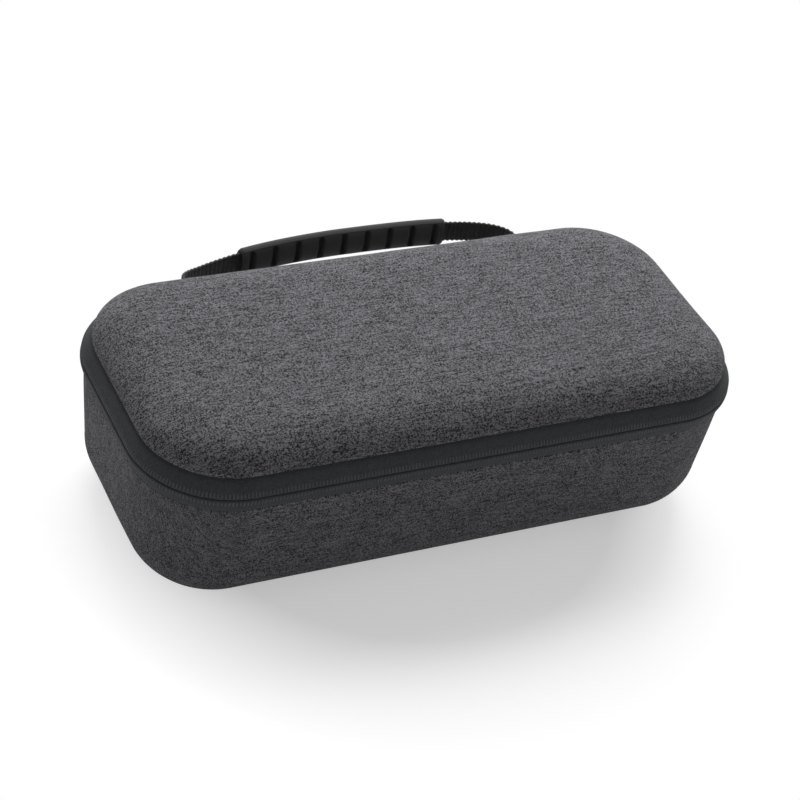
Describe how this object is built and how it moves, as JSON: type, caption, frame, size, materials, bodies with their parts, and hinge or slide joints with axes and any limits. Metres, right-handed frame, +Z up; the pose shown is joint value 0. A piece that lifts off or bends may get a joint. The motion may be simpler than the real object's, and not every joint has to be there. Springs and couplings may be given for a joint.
{
  "type": "portable game console case",
  "caption": "Hard-shell zip-round carrying case for a portable game console, with a strap handle, a hinged lid and a console tray inside.",
  "frame": {"origin": "middle of the flat underside of the base", "axes": "+X along the case towards the end where the zip sliders are parked, +Y to the rear with the hinge and the handle, +Z up"},
  "size_m": [0.3069, 0.1694, 0.0955],
  "materials": {
    "shell_fabric": "heather charcoal polyester laminated on moulded foam",
    "hinge_fabric": "heather charcoal polyester",
    "zip_tape": "woven nylon zip tape",
    "zip_coil": "nylon coil",
    "binding": "woven ribbon",
    "webbing": "ribbed polypropylene webbing",
    "grip_rubber": "satin moulded rubber",
    "slider_metal": "black plated zinc",
    "pull_rubber": "matt rubber",
    "lining": "brushed tricot on foam",
    "mesh": "knitted net",
    "elastic": "ribbed elastic"
  },
  "bodies": {
    "case": {"base_shell": "shell_fabric", "base_zip_tape": "zip_tape", "base_zip_coil": "zip_coil", "base_binding": "binding", "hinge_strip": "hinge_fabric", "handle_webbing": "webbing", "handle_grip": "grip_rubber", "left_zip_stop": "slider_metal", "right_zip_stop": "slider_metal", "console_tray": "lining", "left_divider": "lining", "right_divider": "lining"},
    "lid": {"lid_shell": "shell_fabric", "lid_zip_tape": "zip_tape", "lid_zip_coil": "zip_coil", "lid_binding": "binding", "mesh_pocket": "mesh", "pocket_trim": "elastic"},
    "front_slider": {"front_slider": "slider_metal"},
    "rear_slider": {"rear_slider": "slider_metal"},
    "front_pull": {"front_pull_link": "slider_metal", "front_pull_tab": "pull_rubber"},
    "rear_pull": {"rear_pull_link": "slider_metal", "rear_pull_tab": "pull_rubber"}
  },
  "joints": [
    {"name": "lid_hinge", "type": "hinge", "parent": "case", "child": "lid", "pos_m": [0, 0.0668, 0.0822], "axis": [-1, 0, 0], "range_deg": [0, 90]},
    {"name": "front_slider_slide", "type": "slide", "parent": "case", "child": "front_slider", "axis": [0, -1, 0], "range_m": [0, 0.012]},
    {"name": "rear_slider_slide", "type": "slide", "parent": "case", "child": "rear_slider", "axis": [0, 1, 0], "range_m": [0, 0.012]},
    {"name": "front_pull_swing", "type": "hinge", "parent": "front_slider", "child": "front_pull", "pos_m": [0.1541, -0.00562, 0.0725], "axis": [0, -1, 0], "range_deg": [0, 175]},
    {"name": "rear_pull_swing", "type": "hinge", "parent": "rear_slider", "child": "rear_pull", "pos_m": [0.1541, 0.00562, 0.0725], "axis": [0, -1, 0], "range_deg": [0, 175]}
  ]
}
